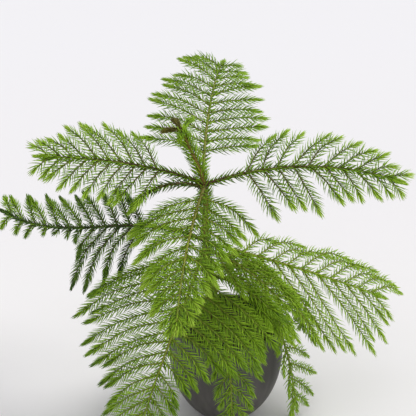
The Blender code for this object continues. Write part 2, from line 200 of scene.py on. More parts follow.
def rachis_path(frond):
    """Points along the frond's main stem, from just clear of the trunk to its tip."""
    start_dir = heading_vector(frond.heading, frond.pitch[0])
    slope = abs(math.sin(math.radians(frond.pitch[0])))
    clear = trunk_radius(frond.rise) + 2 * FIT_GAP + RACHIS_BASE_RADIUS * (slope + 0.6)
    point = trunk_point(frond.rise) + start_dir * clear
    points = [point.copy()]
    step = frond.length / RACHIS_STEPS
    for index in range(RACHIS_STEPS):
        u = (index + 0.5) / RACHIS_STEPS
        point = point + step * heading_vector(frond.heading + frond.turn * u,
                                              blend3(frond.pitch, u))
        points.append(point.copy())
    return points


def path_at(points, u):
    """The point and direction a share u of the way along a path of equal steps."""
    place = min(max(u, 0.0), 0.9999) * (len(points) - 1)
    index = int(place)
    a, b = points[index], points[index + 1]
    return a.lerp(b, place - index), (b - a).normalized()


def shoot_path(start, leave, along, length, frond, hang):
    """A side shoot that leaves one way, curves towards the tip and bends down by hang."""
    steps = max(2, round(length / SHOOT_STEP))
    points = [start.copy()]
    down = Vector((0, 0, -1))
    for index in range(steps):
        u = (index + 0.5) / steps
        bent = leave.lerp(along, frond.sweep * u)
        bent = bent.lerp(down, hang * u ** 1.2).normalized()
        points.append(points[-1] + bent * (length / steps))
    return points


def pot_radius(height):
    """The pot's outer radius: an upright wall above the belly, an ellipse below it."""
    if height >= POT_BELLY_HEIGHT:
        return POT_RADIUS
    foot_share = math.sqrt(1 - (POT_FOOT_RADIUS / POT_RADIUS) ** 2)
    drop = (POT_BELLY_HEIGHT - height) / POT_BELLY_HEIGHT * foot_share
    return POT_RADIUS * math.sqrt(1 - drop ** 2)


def wants_of_shoot(frond, index, side, rachis, chance):
    """Where the shoot starts, the way it leaves, the main stem's direction and its length."""
    share = (index + 0.16 * side) / frond.pairs
    u = frond.bare + (0.985 - frond.bare) * share
    start, along = path_at(rachis, u)
    across = Vector((0, 0, 1)).cross(along).normalized()
    across = Matrix.Rotation(math.radians(frond.roll), 3, along) @ across
    normal = along.cross(across)
    if side:
        across = -across
    angle = frond.spread[0] + (frond.spread[1] - frond.spread[0]) * share
    angle = math.radians(angle + chance.uniform(-5, 5))
    lift = math.radians(frond.lift + chance.uniform(-4, 4))
    flat = along * math.cos(angle) + across * math.sin(angle)
    leave = flat * math.cos(lift) + normal * math.sin(lift)
    length = smooth_value(frond.shoot_lengths[side], share) * chance.uniform(0.90, 1.08)
    return start, leave, along, length


def pieces_of(points, owner):
    """The straight pieces of a path, each as (start, end, middle, half length, owner)."""
    return [(a, b, (a + b) / 2, (b - a).length / 2, owner) for a, b in zip(points, points[1:])]


def gap_between(one, other):
    """The shortest distance between two straight pieces."""
    p, q = one[0], other[0]
    d, e = one[1] - p, other[1] - q
    r = p - q
    dd, ee, de, dr, er = d.dot(d), e.dot(e), d.dot(e), d.dot(r), e.dot(r)
    flat = dd * ee - de * de
    s = min(max((de * er - ee * dr) / flat, 0.0), 1.0) if flat > 1e-14 else 0.0
    t = (de * s + er) / ee
    if t < 0.0 or t > 1.0:
        t = min(max(t, 0.0), 1.0)
        s = min(max((de * t - dr) / dd, 0.0), 1.0)
    return (p + d * s - q - e * t).length


def in_the_way(points, others, owner):
    """Whether a path runs into the pot, the floor or a piece of another frond."""
    for a, b in zip(points, points[1:]):
        for share in (0.25, 0.5, 0.75, 1.0):
            spot = a.lerp(b, share)
            if spot.z < FLOOR_CLEAR:
                return True
            over = math.hypot(spot.x, spot.y) < pot_radius(max(spot.z, 0.0)) + POT_CLEAR
            if over and spot.z < POT_HEIGHT + POT_CLEAR:
                return True
    for piece in pieces_of(points, owner):
        for other in others:
            if other[4] == owner:
                continue
            reach = piece[3] + other[3] + SHOOT_CLEAR
            if (piece[2] - other[2]).length < reach and gap_between(piece, other) < SHOOT_CLEAR:
                return True
    return False


def clear_shoot(frond, wants, hang, others):
    """The shoot as wanted, or bent up or down, or cut short, so that it clears the rest."""
    start, leave, along, length = wants
    aside = leave.cross(Vector((0, 0, 1))).normalized()
    for shorter in (1.0, 0.85, 0.7, 0.5, 0.35):
        for turn in (0, 6, -6, 12, -12, 18, -18, 26):
            bent = Matrix.Rotation(math.radians(turn), 3, aside) @ leave
            points = shoot_path(start, bent, along, length * shorter, frond, hang)
            if not in_the_way(points, others, frond.name):
                return points
    return None


def place_fronds():
    """Every frond's (main stem, shoots), shoots placed in order so that no two touch."""
    stems = {frond.name: rachis_path(frond) for frond in FRONDS}
    taken = []
    for name, points in stems.items():
        taken += pieces_of(points, name)
    taken += pieces_of([trunk_point(i / 12) for i in range(13)], "trunk")
    placed = {}
    for frond in FRONDS:
        chance = random.Random(frond.name)
        shoots = []
        for index in range(frond.pairs):
            for side in (0, 1):
                wants = wants_of_shoot(frond, index, side, stems[frond.name], chance)
                points = clear_shoot(frond, wants, frond.hang[side], taken)
                if points:
                    shoots.append(points)
        for points in shoots:
            taken += pieces_of(points, frond.name)
        placed[frond.name] = (stems[frond.name], shoots)
    return placed


def pot_inner_radius(height):
    return pot_radius(height - POT_WALL * 0.35) - POT_WALL


def bud_path(heading, pitch, length):
    """A young shoot at the leader's tip, from just clear of it."""
    tip = trunk_point(1.0)
    out = heading_vector(heading, pitch)
    clear = trunk_radius(1.0) + FIT_GAP + BUD_RADIUS * 0.45
    points = [tip + out * clear]
    for index in range(4):
        out = heading_vector(heading, pitch + BUD_CURL * index)
        points.append(points[-1] + out * (length / 4))
    return points


# --- looks

UP = np.array([0.0, 0.0, 1.0])
GOLDEN_TURN = math.radians(137.508)
NEEDLE_STATIONS = (0.0, 0.30, 0.68, 1.0)
NEEDLE_WIDTHS = (0.80, 1.0, 0.66, 0.0)
NEEDLE_CURL = 0.36
TONE_STEP = 0.010

# Needles along a stem: the scatter of their turn, lean, length and tone, how they crowd to
# the two sides, how much less the upper ones lean out, and how long they are near the stem's
# start and in the brush at its tip.
TURN_SCATTER = 0.14
SIDE_CROWDING = 0.36
UPPER_LEAN_LOSS = 0.16
LEAN_SCATTER = math.radians(4.0)
START_SIZE, SIZE_GAIN, GAIN_RUN = 0.58, 0.42, 0.012
TUFT_SIZE_LOSS = 0.50
SIZE_SCATTER = (0.86, 1.08)
TONE_ALONG, TONE_SCATTER = 0.08, 0.10

# Stems: half thicknesses at base and tip, the swelling where a frond leaves the trunk, and
# how closely the leaf bases follow each other round and along.
MAIN_BASE, MAIN_TIP = 0.00205, 0.00085
SIDE_BASE, SIDE_TIP = 0.00100, 0.00045
COLLAR_GAIN, COLLAR_RUN = 0.45, 0.005
LEAF_BASE_WAVES = (2400.0, 1700.0)
SHOOT_WAVER = 0.0012

# Pot and soil: the rim's rounding, the soil's lumps as (closeness, height), and its crumbs.
RIM_ROUND = 0.0016
SOIL_LUMPS = ((120.0, 0.0011), (420.0, 0.0008))
CRUMB_COUNT = 520
CRUMB_SIZE = (0.0006, 0.0017)

# Stage: half the floor's width, and the camera's place, tilt from straight down and lens.
FLOOR_REACH = 9.0
CAMERA_PLACE = (-0.0205, -1.1419, 0.7634)
CAMERA_TILT = math.radians(66.0)
CAMERA_LENS = 99.5

# Stem colours from old wood to fresh growth, and the spacing of the needles on the main stem.
BROWN = ((88, 58, 30), (100, 82, 36), (106, 128, 46), 0.00060)
RED_BROWN = ((84, 48, 30), (92, 70, 38), (90, 112, 46), 0.00055)
OLIVE = ((120, 112, 44), (142, 148, 48), (134, 160, 52), 0.00095)
GOLD = ((112, 106, 40), (148, 154, 48), (146, 170, 54), 0.00090)

# How each frond looks: the tone of its needles (0 old and deep, 1 fresh and pale), how much
# paler they get towards its end and at its shoots' tips, its needles' length and spacing,
# and its main stem.
FROND_LOOKS = {
    "frond_top_right": (0.52, 0.12, 0.40, 0.0126, 0.00110, BROWN),
    "frond_top_back": (0.48, 0.06, 0.26, 0.0114, 0.00084, OLIVE),
    "frond_top_front_left": (0.34, 0.05, 0.50, 0.0112, 0.00110, BROWN),
    "frond_top_left": (0.52, 0.12, 0.36, 0.0120, 0.00112, BROWN),
    "frond_top_front": (0.52, 0.10, 0.38, 0.0116, 0.00074, GOLD),
    "frond_mid_left": (0.23, 0.42, -0.16, 0.0092, 0.00060, RED_BROWN),
    "frond_mid_right": (0.76, 0.05, 0.10, 0.0102, 0.00105, GOLD),
    "frond_mid_front_left": (0.58, 0.04, -0.28, 0.0112, 0.00082, OLIVE),
    "frond_mid_front_right": (0.68, 0.04, 0.06, 0.0108, 0.00096, OLIVE),
    "frond_low_right": (0.60, 0.04, 0.02, 0.0088, 0.00095, OLIVE),
    "frond_low_front": (0.52, 0.04, 0.02, 0.0104, 0.00095, OLIVE),
    "frond_low_back": (0.68, 0.04, 0.02, 0.0090, 0.00095, OLIVE),
}


def srgb(red, green, blue):
    """A colour given in 0 to 255 steps, as linear light."""
    values = [value / 255.0 for value in (red, green, blue)]
    return (*[v / 12.92 if v <= 0.04045 else ((v + 0.055) / 1.055) ** 2.4 for v in values], 1.0)


def dice(name):
    """A random number source of its own for each piece."""
    return np.random.default_rng(zlib.crc32(name.encode()))


def unit(rows):
    return rows / np.linalg.norm(rows, axis=-1, keepdims=True)


# Materials


def new_material(name):
    material = bpy.data.materials.new(name)
    material.use_nodes = True
    return material, material.node_tree, material.node_tree.nodes["Principled BSDF"]


def add_node(tree, kind, **inputs):
    made = tree.nodes.new("ShaderNode" + kind)
    for label, value in inputs.items():
        socket = made.inputs[label.replace("_", " ")]
        if isinstance(value, bpy.types.NodeSocket):
            tree.links.new(value, socket)
        else:
            socket.default_value = value
    return made


def ramp(tree, value, stops):
    """Colours read off a scale: stops are (place, colour)."""
    made = add_node(tree, "ValToRGB", Fac=value)
    scale = made.color_ramp.elements
    while len(scale) < len(stops):
        scale.new(0.5)
    for spot, (place, colour) in zip(scale, stops):
        spot.position = place
        spot.color = colour if len(colour) == 4 else (*colour, 1.0)
    return made.outputs["Color"]


def grey(value):
    return (value, value, value, 1.0)


def mix_colours(tree, way, share, first, second):
    made = tree.nodes.new("ShaderNodeMix")
    made.data_type = "RGBA"
    made.blend_type = way
    for socket, value in ((made.inputs[0], share), (made.inputs[6], first),
                          (made.inputs[7], second)):
        if isinstance(value, bpy.types.NodeSocket):
            tree.links.new(value, socket)
        else:
            socket.default_value = value
    return made.outputs[2]


def object_noise(tree, scale, detail=3.0, stretch=(1.0, 1.0, 1.0)):
    """Noise fixed to the object, with features about 1 / scale metres across."""
    place = tree.nodes.new("ShaderNodeTexCoord")
    fit = add_node(tree, "Mapping", Vector=place.outputs["Object"])
    fit.inputs["Scale"].default_value = stretch
    made = add_node(tree, "TexNoise", Vector=fit.outputs["Vector"], Scale=scale, Detail=detail)
    return made.outputs["Fac"]


def bump(tree, shader, height, distance, strength=1.0):
    made = add_node(tree, "Bump", Height=height, Distance=distance, Strength=strength)
    tree.links.new(made.outputs["Normal"], shader.inputs["Normal"])


def needle_look(name, stops):
    """Needles: the tone is read across the map and the way from base to tip up the map."""
    material, tree, shader = new_material(name)
    place = tree.nodes.new("ShaderNodeUVMap")
    place.uv_map = "OFBake"
    parts = add_node(tree, "SeparateXYZ", Vector=place.outputs["UV"])
    tone = ramp(tree, parts.outputs["X"], stops)
    # Painted shade: each needle darkens towards its base, where the needles crowd at the stem;
    # towards the tip it turns a little yellower.
    shade = ramp(tree, parts.outputs["Y"],
                 ((0.0, grey(0.46)), (0.30, grey(0.86)), (0.7, grey(1.0)),
                  (1.0, (1.0, 0.98, 0.80))))
    colour = mix_colours(tree, "MULTIPLY", 1.0, tone, shade)
    tree.links.new(colour, shader.inputs["Base Color"])
    rough = ramp(tree, parts.outputs["X"], ((0.0, grey(0.60)), (1.0, grey(0.46))))
    tree.links.new(rough, shader.inputs["Roughness"])
    shader.inputs["Specular IOR Level"].default_value = 0.22
    return material


def stem_look(name, colours):
    """Stems: age 0 is old wood and 1 is fresh growth, with flecks and a fine grain."""
    material, tree, shader = new_material(name)
    age = tree.nodes.new("ShaderNodeAttribute")
    age.attribute_name = "age"
    old, middle, fresh = colours
    tone = ramp(tree, age.outputs["Fac"],
                ((0.0, srgb(*old)), (0.45, srgb(*middle)), (1.0, srgb(*fresh))))
    flecks = object_noise(tree, 700.0, 2.0)
    shade = ramp(tree, flecks, ((0.30, grey(0.62)), (0.55, grey(1.0)), (0.75, (1.0, 0.96, 0.80))))
    tree.links.new(mix_colours(tree, "MULTIPLY", 0.9, tone, shade), shader.inputs["Base Color"])
    rough = ramp(tree, flecks, ((0.2, grey(0.72)), (0.8, grey(0.52))))
    tree.links.new(rough, shader.inputs["Roughness"])
    bump(tree, shader, object_noise(tree, 1500.0, 2.0), 0.0002, 0.6)
    return material


def pot_look():
    """Matte charcoal: cloudy tone, faint upright wipe marks, fine grain."""
    material, tree, shader = new_material("pot_matte_charcoal")
    clouds = object_noise(tree, 22.0, 3.0)
    streaks = object_noise(tree, 160.0, 2.0, (1.0, 1.0, 0.05))
    grain = object_noise(tree, 2200.0, 2.0)
    base = ramp(tree, clouds, ((0.3, srgb(73, 70, 68)), (0.7, srgb(86, 82, 79))))
    wiped = ramp(tree, streaks, ((0.30, grey(0.86)), (0.55, grey(1.0)), (0.75, grey(1.16))))
    colour = mix_colours(tree, "MULTIPLY", 1.0, base, wiped)
    fine = ramp(tree, grain, ((0.3, grey(0.90)), (0.7, grey(1.08))))
    tree.links.new(mix_colours(tree, "MULTIPLY", 1.0, colour, fine), shader.inputs["Base Color"])
    rough = ramp(tree, streaks, ((0.3, grey(0.58)), (0.7, grey(0.50))))
    tree.links.new(rough, shader.inputs["Roughness"])
    bump(tree, shader, grain, 0.00012, 0.5)
    return material


def soil_look(name, low, high):
    material, tree, shader = new_material(name)
    patches = object_noise(tree, 260.0, 5.0)
    tree.links.new(ramp(tree, patches, ((0.3, srgb(*low)), (0.72, srgb(*high)))),
                   shader.inputs["Base Color"])
    tree.links.new(ramp(tree, patches, ((0.2, grey(0.98)), (0.8, grey(0.80)))),
                   shader.inputs["Roughness"])
    bump(tree, shader, object_noise(tree, 1300.0, 3.0), 0.0004, 0.9)
    return material


# Meshes


def add_piece(name, points, triangles, material, uv=None, age=None):
    """A smooth-shaded piece from arrays of points and triangles."""
    mesh = bpy.data.meshes.new(name)
    mesh.vertices.add(len(points))
    mesh.vertices.foreach_set("co", np.asarray(points, np.float32).ravel())
    mesh.loops.add(len(triangles) * 3)
    mesh.loops.foreach_set("vertex_index", np.asarray(triangles, np.int32).ravel())
    mesh.polygons.add(len(triangles))
    mesh.polygons.foreach_set("loop_start", np.arange(0, len(triangles) * 3, 3, dtype=np.int32))
    mesh.polygons.foreach_set("loop_total", np.full(len(triangles), 3, dtype=np.int32))
    if uv is not None:
        layer = mesh.uv_layers.new(name="OFBake")
        layer.uv.foreach_set("vector", np.asarray(uv, np.float32).ravel())
    if age is not None:
        layer = mesh.attributes.new("age", "FLOAT", "POINT")
        layer.data.foreach_set("value", np.asarray(age, np.float32))
    mesh.update(calc_edges=True)
    mesh.polygons.foreach_set("use_smooth", np.ones(len(triangles), dtype=bool))
    mesh.validate()
    mesh.materials.append(material)
    piece = bpy.data.objects.new(name, mesh)
    bpy.context.scene.collection.objects.link(piece)
    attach(piece, "root")
    return piece


def even_path(points, step):
    """A smooth curve through the points: evenly spaced points, directions, distances along."""
    fixed = np.array([tuple(point) for point in points])
    ends = np.vstack([2 * fixed[0] - fixed[1], fixed, 2 * fixed[-1] - fixed[-2]])
    t = np.linspace(0.0, 1.0, 12, endpoint=False)[:, None]
    runs = []
    for a, b, c, d in zip(ends, ends[1:], ends[2:], ends[3:]):
        runs.append(0.5 * (2 * b + (c - a) * t + (2 * a - 5 * b + 4 * c - d) * t ** 2
                           + (3 * b - a - 3 * c + d) * t ** 3))
    fine = np.vstack(runs + [fixed[-1:]])
    gone = np.concatenate([[0.0], np.cumsum(np.linalg.norm(np.diff(fine, axis=0), axis=1))])
    along = np.linspace(0.0, gone[-1], max(3, int(round(gone[-1] / step)) + 1))
    spots = np.stack([np.interp(along, gone, fine[:, k]) for k in range(3)], axis=1)
    return spots, unit(np.gradient(spots, axis=0)), along


def square_to(ways, start):
    """Two directions square to the path at each point, without twist, the first near start."""
    rows = [unit(start - ways[0] * np.dot(start, ways[0]))]
    for way in ways[1:]:
        rows.append(unit(rows[-1] - way * np.dot(rows[-1], way)))
    first = np.array(rows)
    return first, np.cross(ways, first)


def read_along(along, rows, places):
    return np.stack([np.interp(places, along, rows[:, k]) for k in range(3)], axis=1)


def tube(path, radii, sides, knobs=0.0):
    """A closed tube. knobs raises the spiral of leaf bases, as a share of the radius."""
    spots, _, along, first, second = path
    angles = np.arange(sides) * math.tau / sides
    ring = (first[:, None, :] * np.cos(angles)[None, :, None]
            + second[:, None, :] * np.sin(angles)[None, :, None])
    wave = np.cos(3 * angles[None, :] + along[:, None] * LEAF_BASE_WAVES[0])
    wave = wave * np.cos(2 * angles[None, :] - along[:, None] * LEAF_BASE_WAVES[1])
    size = radii[:, None] * (1.0 + knobs * wave)
    points = (spots[:, None, :] + ring * size[:, :, None]).reshape(-1, 3)
    count = len(spots)
    k = np.arange(sides)
    low = (np.arange(count - 1)[:, None] * sides + k[None, :]).ravel()
    side = (np.arange(count - 1)[:, None] * sides + (k[None, :] + 1) % sides).ravel()
    faces = [np.stack([low, side, side + sides], 1), np.stack([low, side + sides, low + sides], 1)]
    points = np.vstack([points, spots[:1], spots[-1:]])
    last = (count - 1) * sides
    start, end = np.full(sides, count * sides), np.full(sides, count * sides + 1)
    faces.append(np.stack([start, (k + 1) % sides, k], 1))
    faces.append(np.stack([end, last + k, last + (k + 1) % sides], 1))
    return points, np.vstack(faces)


def joined(parts):
    """Several (points, triangles) as one."""
    shift, points, faces = 0, [], []
    for some, triangles in parts:
        points.append(some)
        faces.append(triangles + shift)
        shift += len(some)
    return np.vstack(points), np.vstack(faces)


def path_of(points, step, up):
    spots, ways, along = even_path(points, step)
    first, second = square_to(ways, np.asarray(up, float))
    return spots, ways, along, first, second


def smooth_step(value):
    value = np.clip(value, 0.0, 1.0)
    return value * value * (3.0 - 2.0 * value)


def needles_on(path, stem, chance, length, tone, fresh=0.3, gap=0.0009, start=0.002,
               lean=56.0, tuft=0.021, tuft_lean=4.0, width=0.00062, tuft_tight=0.72, grow=0.0):
    """Needles in a spiral along a stem, closing into a pointed brush at its tip.

    Returns rows of base, direction, bend, length, half width and tone.
    """
    spots, ways, along, first, _ = path
    total = along[-1]
    tuft = min(tuft, total * 0.45)
    places = np.concatenate([np.arange(start, total - tuft, gap),
                             np.arange(total - tuft, total - 0.0005, gap * tuft_tight)])
    count = len(places)
    way = unit(read_along(along, ways, places))
    over = read_along(along, first, places)
    over = unit(over - way * np.sum(over * way, axis=1, keepdims=True))
    side = np.cross(way, over)
    turn = np.arange(count) * GOLDEN_TURN + chance.normal(0.0, TURN_SCATTER, count)
    turn = turn + SIDE_CROWDING * np.sin(2.0 * turn)
    out = over * np.cos(turn)[:, None] + side * np.sin(turn)[:, None]
    to_tip = total - places
    close = np.clip(1.0 - to_tip / tuft, 0.0, 1.0)
    angle = np.radians(lean) * (1.0 - UPPER_LEAN_LOSS * np.clip(np.cos(turn), 0.0, 1.0))
    angle = angle + (math.radians(tuft_lean) - angle) * close ** 0.7
    angle = angle + chance.normal(0.0, LEAN_SCATTER, count) * (1.0 - 0.7 * close)
    direction = way * np.cos(angle)[:, None] + out * np.sin(angle)[:, None]
    size = length * (START_SIZE + SIZE_GAIN * smooth_step((places - start) / GAIN_RUN))
    size = size * (1.0 - TUFT_SIZE_LOSS * close) * chance.uniform(*SIZE_SCATTER, count)
    size = size * (1.0 + grow * places / total)
    tones = tone + TONE_ALONG * places / total + fresh * smooth_step(1.0 - to_tip / (tuft * 1.1))
    tones = np.clip(tones + chance.normal(0.0, TONE_SCATTER, count), 0.02, 0.98)
    base = read_along(along, spots, places) + out * (stem * 0.7)
    half = np.full(count, width) * chance.uniform(0.9, 1.1, count)
    return base, direction, way, size, half, tones


def clear_of_pot(rows):
    """Shortens needles that would run into the pot's wall, and leaves out what still would."""
    base, direction, bend, size, half, tones = [np.array(row) for row in rows]
    for share in (0.7, 0.6, 0.5):
        size = np.where(in_pot(base, direction, bend, size), size * share, size)
    keep = ~in_pot(base, direction, bend, size)
    return [row[keep] for row in (base, direction, bend, size, half, tones)]


def in_pot(base, direction, bend, size):
    found = np.zeros(len(base), bool)
    for t in (0.5, 1.0):
        spot = base + size[:, None] * (direction * t + bend * (NEEDLE_CURL * t * t))
        wall = np.array([pot_radius(max(z, 0.0)) for z in spot[:, 2]])
        reach = np.hypot(spot[:, 0], spot[:, 1])
        inner = wall - POT_WALL - 0.0004
        found |= (spot[:, 2] < POT_HEIGHT + 0.0004) & (reach < wall + 0.0005) & (
            (reach > inner) | (spot[:, 2] < POT_HEIGHT - SOIL_BELOW_RIM + SOIL_CROWN))
        found |= spot[:, 2] < 0.0006
    return found


def needle_template():
    """One needle's triangles and their places on the map, three-sided, pointed and closed."""
    faces, places = [], []
    for ring in (0, 1):
        low, high = NEEDLE_STATIONS[ring], NEEDLE_STATIONS[ring + 1]
        for k in range(3):
            a, b = ring * 3 + k, ring * 3 + (k + 1) % 3
            faces += [(a, b, b + 3), (a, b + 3, a + 3)]
            places += [(-1, low), (1, low), (1, high), (-1, low), (1, high), (-1, high)]
    for k in range(3):
        faces.append((6 + k, 6 + (k + 1) % 3, 9))
        places += [(-1, NEEDLE_STATIONS[2]), (1, NEEDLE_STATIONS[2]), (0, 1.0)]
    faces.append((0, 2, 1))
    places += [(-1, 0.0), (0, 0.04), (1, 0.0)]
    return np.array(faces), np.array(places, float)


def add_needles(name, sets, material):
    rows = [np.concatenate(column) for column in zip(*sets)]
    base, direction, bend, size, half, tones = clear_of_pot(rows)
    side = unit(np.cross(direction, bend + direction * 0.01 + UP * 1e-4))
    over = np.cross(direction, side)
    points = np.empty((len(base), 10, 3))
    for ring in range(3):
        t, width = NEEDLE_STATIONS[ring], NEEDLE_WIDTHS[ring]
        middle = base + size[:, None] * (direction * t + bend * (NEEDLE_CURL * t * t))
        for k in range(3):
            angle = math.radians(90 + 120 * k)
            corner = side * math.cos(angle) + over * math.sin(angle)
            points[:, ring * 3 + k] = middle + corner * (half * width)[:, None]
    points[:, 9] = base + size[:, None] * (direction + bend * NEEDLE_CURL)
    faces, places = needle_template()
    count = len(base)
    triangles = (faces[None] + (np.arange(count) * 10)[:, None, None]).reshape(-1, 3)
    uv = np.empty((count, len(places), 2))
    uv[:, :, 0] = 0.01 + 0.98 * tones[:, None] + places[None, :, 0] * TONE_STEP
    uv[:, :, 1] = 0.01 + 0.98 * places[None, :, 1]
    return add_piece(name, points.reshape(-1, 3), triangles, material, uv=uv)


# The plant

GREENS = ((0.0, srgb(50, 72, 44)), (0.22, srgb(82, 114, 44)), (0.45, srgb(126, 166, 38)),
          (0.68, srgb(152, 192, 42)), (0.86, srgb(164, 204, 52)), (1.0, srgb(184, 216, 78)))
# Painted shade: a darker, browner copy of the needle colours, for the two buds on the leader's
# shaded left side.
SHADED_BUD_GREENS = ((0.0, srgb(56, 52, 22)), (0.5, srgb(98, 92, 32)), (1.0, srgb(140, 136, 48)))


def frond_up(along, shoot_way):
    """The upper side of a frond where a shoot leaves its main stem."""
    normal = along.cross(shoot_way)
    return np.array(normal if normal.z >= 0 else -normal)


def wavy(points, chance, amount):
    """The path with a slight bend of its own."""
    if len(points) < 3:
        middle = (points[0] + points[-1]) / 2
        points = [points[0], middle, points[-1]]
    moved = [points[0].copy()]
    for index, point in enumerate(points[1:]):
        share = (index + 1) / (len(points) - 1)
        shift = Vector(chance.normal(0.0, amount * share, 3))
        moved.append(point + shift)
    return moved


def build_frond(frond, rachis, shoots, leaf_look):
    tone, drift, fresh, length, gap, main_look = FROND_LOOKS[frond.name]
    *colours, main_gap = main_look
    chance = dice(frond.name)
    inside = trunk_point(frond.rise) + (rachis[0] - trunk_point(frond.rise)) * 0.2
    main = path_of([inside] + rachis, 0.001, UP)
    share = main[2] / main[2][-1]
    radii = MAIN_BASE + (MAIN_TIP - MAIN_BASE) * share ** 0.9
    radii = radii * (1.0 + COLLAR_GAIN * np.exp(-main[2] / COLLAR_RUN))
    radii[-1] *= 0.4
    stems = [tube(main, radii, 10, 0.10)]
    ages = [np.concatenate([np.repeat(share * 0.85, 10), [0.0, 0.85]])]
    sets = [needles_on(main, 0.0015, chance, length * 0.74, tone - 0.08, fresh + 0.06,
                       gap=main_gap, start=0.003, lean=62.0, width=0.00074)]
    for points in shoots:
        start = min(range(len(rachis)), key=lambda i: (rachis[i] - points[0]).length)
        start = min(start, len(rachis) - 2)
        up = frond_up(rachis[start + 1] - rachis[start], points[1] - points[0])
        path = path_of(wavy(points, chance, SHOOT_WAVER), 0.002, up)
        run = path[2] / path[2][-1]
        widths = SIDE_BASE + (SIDE_TIP - SIDE_BASE) * run
        widths[-1] *= 0.4
        stems.append(tube(path, widths, 6, 0.06))
        near = float(np.clip((points[0] - rachis[0]).length / frond.length, 0.0, 1.0))
        ages.append(np.concatenate([np.repeat(0.45 + 0.25 * near + 0.30 * run, 6), [0.4, 1.0]]))
        own = tone + float(chance.normal(0.0, 0.04)) + drift * near ** 2
        sets.append(needles_on(path, 0.0008, chance, length, own, fresh, gap))
    points, triangles = joined(stems)
    stem = add_piece(frond.name + "_stems", points, triangles,
                     stem_look(frond.name + "_stem", colours), age=np.concatenate(ages))
    leaves = add_needles(frond.name + "_needles", sets, leaf_look)
    for piece in (stem, leaves):
        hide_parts(frond.name)


def build_trunk(leaf_look):
    chance = dice("trunk")
    foot = trunk_point(0.0) - Vector((0, 0, TRUNK_SOCKET_DEPTH * 0.5))
    path = path_of([foot] + [trunk_point(i / 16) for i in range(17)], 0.0008, (0, -1, 0))
    share = np.clip((path[0][:, 2] - trunk_point(0.0).z) / TRUNK_HEIGHT, 0.0, 1.0)
    radii = np.array([trunk_radius(value) for value in share])
    radii[-1] *= 0.5
    points, triangles = tube(path, radii * 0.96, 22, 0.07)
    age = np.concatenate([np.repeat(share, 22), [0.0, 1.0]])
    trunk = add_piece("trunk_bark", points, triangles,
                      stem_look("trunk_bark", ((104, 92, 42), (136, 120, 50), (150, 122, 54))),
                      age=age)
    sets = [needles_on(path, 0.0022, chance, length=0.0074, tone=0.56, fresh=0.14, gap=0.00038,
                       start=0.030, lean=54.0, tuft=0.010, tuft_lean=16.0, grow=0.62)]
    leaves = add_needles("trunk_needles", sets, leaf_look)
    for piece, slot in ((trunk, "bark"), (leaves, "foliage")):
        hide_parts("trunk")


def build_bud(name, heading, pitch, length, leaf_look):
    chance = dice(name)
    points = bud_path(heading, pitch, length)
    points[0] = points[0].lerp(trunk_point(1.0), 0.6)
    path = path_of(points, 0.001, UP)
    run = path[2] / path[2][-1]
    stem = tube(path, 0.0013 - 0.0006 * run, 8, 0.05)
    twig = add_piece(name + "_stem", *stem, stem_look(name + "_stem", BROWN[:3]),
                     age=np.concatenate([np.repeat(run, 8), [0.0, 1.0]]))
    sets = [needles_on(path, 0.0013, chance, length=0.0082, tone=0.46, fresh=0.40, gap=0.00026,
                       start=0.001, lean=26.0, tuft=0.011, tuft_lean=5.0, width=0.00065)]
    leaves = add_needles(name + "_needles", sets, leaf_look)
    for piece in (twig, leaves):
        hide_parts(name)


# The pot and the soil


def turned(profile, steps):
    """A closed profile of (radius, height) turned about Z, as points and triangles."""
    rings = np.array(profile)
    angles = np.arange(steps) * math.tau / steps
    points, index = [], []
    for radius, height in rings:
        if radius < 1e-6:
            index.append(np.full(steps, sum(len(p) for p in points)))
            points.append(np.array([[0.0, 0.0, height]]))
            continue
        index.append(sum(len(p) for p in points) + np.arange(steps))
        points.append(np.stack([radius * np.cos(angles), radius * np.sin(angles),
                                np.full(steps, height)], 1))
    faces = []
    for upper, lower in zip(index, index[1:]):
        a, b = upper, np.roll(upper, -1)
        c, d = lower, np.roll(lower, -1)
        if upper[0] != upper[1]:
            faces.append(np.stack([a, c, b], 1))
        if lower[0] != lower[1]:
            faces.append(np.stack([b, c, d], 1))
    return np.vstack(points), np.vstack(faces)


def pot_section():
    """The pot's section from the middle of its foot, up the outside, over the rim and down."""
    rim = RIM_ROUND
    middle = POT_RADIUS - POT_WALL / 2
    half = POT_WALL / 2
    foot = [(0.0, 0.0006), (POT_FOOT_RADIUS * 0.55, 0.0006), (POT_FOOT_RADIUS * 0.60, 0.0),
            (POT_FOOT_RADIUS - 0.0014, 0.0), (POT_FOOT_RADIUS - 0.0003, 0.0004)]
    belly = [(pot_radius(z), z) for z in POT_BELLY_HEIGHT * (np.linspace(0.02, 1, 44) ** 1.3)]
    wall = [(POT_RADIUS, z) for z in np.linspace(POT_BELLY_HEIGHT, POT_HEIGHT - rim, 8)[1:]]
    turn = np.radians(np.linspace(0, 90, 7))[1:]
    outer = [(middle + half - rim + rim * math.cos(a), POT_HEIGHT - rim + rim * math.sin(a))
             for a in turn]
    inner = [(middle - half + rim - rim * math.sin(a), POT_HEIGHT - rim + rim * math.cos(a))
             for a in np.radians(np.linspace(0, 90, 7))]
    down = [(pot_inner_radius(z), z) for z in np.linspace(POT_HEIGHT - rim - 0.001, 0.012, 30)]
    floor = [(pot_inner_radius(0.008) - 0.003, POT_WALL * 1.2), (0.0, POT_WALL * 1.2)]
    return foot + belly + wall + outer + inner + down + floor


def build_pot():
    points, triangles = turned(pot_section()[::-1], 160)
    pot = add_piece("pot_body", points, triangles, pot_look())
    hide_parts("pot")


